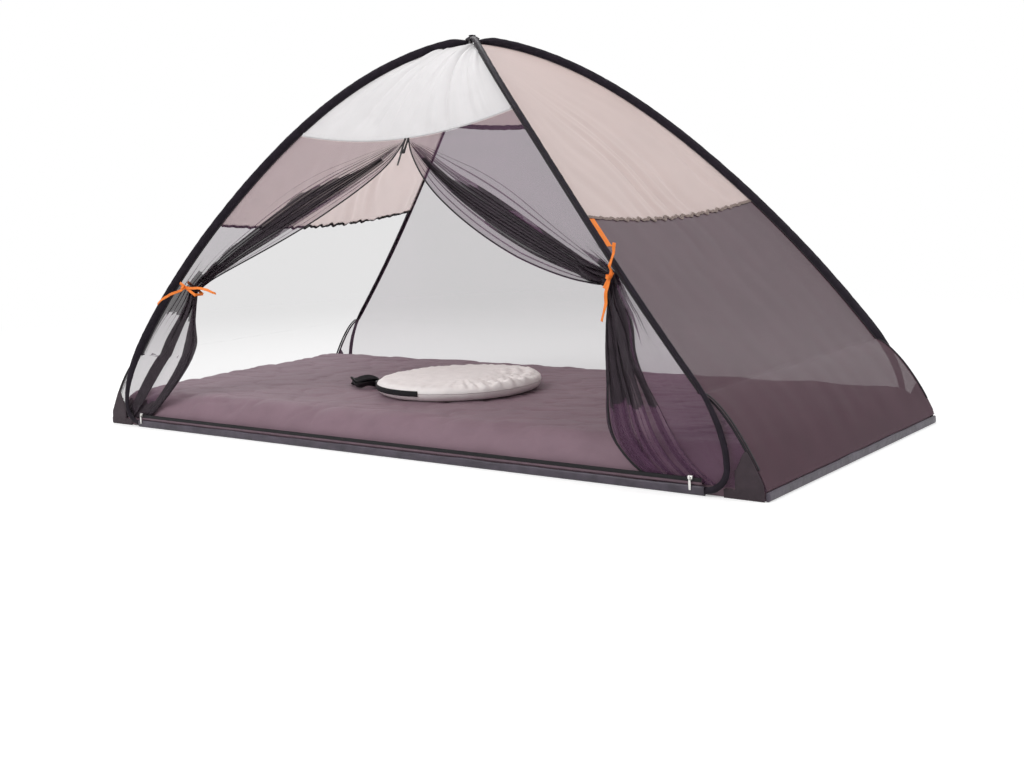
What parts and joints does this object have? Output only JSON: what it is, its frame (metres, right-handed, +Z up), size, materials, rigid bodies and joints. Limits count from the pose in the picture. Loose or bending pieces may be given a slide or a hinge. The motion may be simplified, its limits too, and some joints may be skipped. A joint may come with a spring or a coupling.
{
  "type": "mosquito net tent",
  "caption": "Pop-up mosquito net tent for a single bed: crossed spring arches, white and beige top panels, net walls, tied-back door, fitted base cover and storage bag.",
  "frame": {"origin": "On the plane of the hem's underside, in the middle of the tent, under the point where the two arches cross.", "axes": "+X runs along the bed to the right as seen from the door, +Y from the door side to the back, +Z up."},
  "size_m": [2.008, 0.925, 1.0108],
  "materials": {
    "spring_steel": "bare spring wire",
    "sleeve_fabric": "black woven tape",
    "white_fabric": "fine white polyester",
    "beige_fabric": "thin beige polyester",
    "net": "dark mosquito net",
    "cover_fabric": "dark plum cloth",
    "zip_tape": "black zip tape and coil",
    "slider_metal": "plated zinc",
    "slider_black": "black lacquer",
    "orange_ribbon": "orange ribbon",
    "bag_fabric": "cream cloth",
    "strap_webbing": "black webbing"
  },
  "bodies": {
    "front_half": {"arch_rod_a_front": "spring_steel", "arch_rod_b_front": "spring_steel", "base_rod_front": "spring_steel", "ferrule_front_left": "spring_steel", "ferrule_front_right": "spring_steel", "sleeve_a_front": "sleeve_fabric", "sleeve_b_front": "sleeve_fabric", "apex_patch": "sleeve_fabric", "apex_loop": "sleeve_fabric", "top_panel_front": "white_fabric", "top_panel_left": "beige_fabric", "top_panel_right": "beige_fabric", "net_left": "net", "net_right": "net", "door_curtain_left": "net", "door_curtain_right": "net", "base_cover": "cover_fabric", "hem_front": "sleeve_fabric", "hem_left": "sleeve_fabric", "hem_right": "sleeve_fabric", "corner_patch_front_left": "sleeve_fabric", "corner_patch_front_right": "sleeve_fabric", "hem_zip_tape": "zip_tape", "door_zip_tape_left": "zip_tape", "door_zip_tape_right": "zip_tape", "tie_left_band": "orange_ribbon", "tie_left_knot": "orange_ribbon", "tie_left_tail_upper": "orange_ribbon", "tie_left_tail_lower": "orange_ribbon", "tie_right_band": "orange_ribbon", "tie_right_knot": "orange_ribbon", "tie_right_tail_upper": "orange_ribbon", "tie_right_tail_lower": "orange_ribbon", "label_tab": "orange_ribbon"},
    "back_half": {"arch_rod_a_back": "spring_steel", "arch_rod_b_back": "spring_steel", "base_rod_back": "spring_steel", "ferrule_back_left": "spring_steel", "ferrule_back_right": "spring_steel", "sleeve_a_back": "sleeve_fabric", "sleeve_b_back": "sleeve_fabric", "top_panel_back": "beige_fabric", "net_back": "net", "hem_back": "sleeve_fabric", "corner_patch_back_left": "sleeve_fabric", "corner_patch_back_right": "sleeve_fabric"},
    "bag": {"bag_shell": "bag_fabric", "bag_zip_tape": "zip_tape", "bag_strap": "strap_webbing"},
    "bag_zip_slider": {"bag_slider": "slider_metal"},
    "bag_zip_pull": {"bag_pull": "slider_metal"},
    "left_hem_slider": {"hem_slider_left": "slider_metal"},
    "left_hem_pull": {"hem_pull_left": "slider_metal"},
    "right_hem_slider": {"hem_slider_right": "slider_metal"},
    "right_hem_pull": {"hem_pull_right": "slider_metal"},
    "door_zip_slider": {"door_slider": "slider_black"},
    "door_zip_pull": {"door_pull": "slider_black"}
  },
  "joints": [
    {"name": "fold", "type": "hinge", "parent": "front_half", "child": "back_half", "pos_m": [0, 0, 0.955], "axis": [-1, 0, 0], "range_deg": [0, 46], "stiffness_Nm_per_rad": 6, "springref_deg": -11.46, "deforming": ["top_panel_left", "top_panel_right", "net_left", "net_right", "hem_left", "hem_right", "base_cover"]},
    {"name": "bag_out", "type": "slide", "parent": "front_half", "child": "bag", "axis": [0, -1, 0], "range_m": [0, 0.66]},
    {"name": "bag_zip", "type": "hinge", "parent": "bag", "child": "bag_zip_slider", "pos_m": [-0.05, -0.06, 0.1163], "axis": [0, 0, 1], "range_deg": [0, 68]},
    {"name": "bag_pull_swing", "type": "hinge", "parent": "bag_zip_slider", "child": "bag_zip_pull", "pos_m": [-0.24771, -0.16074, 0.1163], "axis": [-0.454, 0.891, 0], "range_deg": [0, 120]},
    {"name": "left_hem_zip", "type": "slide", "parent": "front_half", "child": "left_hem_slider", "axis": [1, 0, 0], "range_m": [0, 0.84]},
    {"name": "left_pull_swing", "type": "hinge", "parent": "left_hem_slider", "child": "left_hem_pull", "pos_m": [-0.858, -0.4622, 0.0333], "axis": [-1, 0, 0], "range_deg": [0, 120]},
    {"name": "right_hem_zip", "type": "slide", "parent": "front_half", "child": "right_hem_slider", "axis": [-1, 0, 0], "range_m": [0, 0.82]},
    {"name": "right_pull_swing", "type": "hinge", "parent": "right_hem_slider", "child": "right_hem_pull", "pos_m": [0.842, -0.4622, 0.0333], "axis": [-1, 0, 0], "range_deg": [0, 120]},
    {"name": "door_zip", "type": "slide", "parent": "front_half", "child": "door_zip_slider", "axis": [0, 0.4713, 0.882], "range_m": [0, 0.022]},
    {"name": "door_pull_swing", "type": "hinge", "parent": "door_zip_slider", "child": "door_zip_pull", "pos_m": [0.01496, -0.31568, 0.7134], "axis": [-1, 0, 0], "range_deg": [0, 120]}
  ],
  "couplings": [
    {"joint": "bag_out", "follows": "fold", "m_per_rad": 0.8}
  ]
}
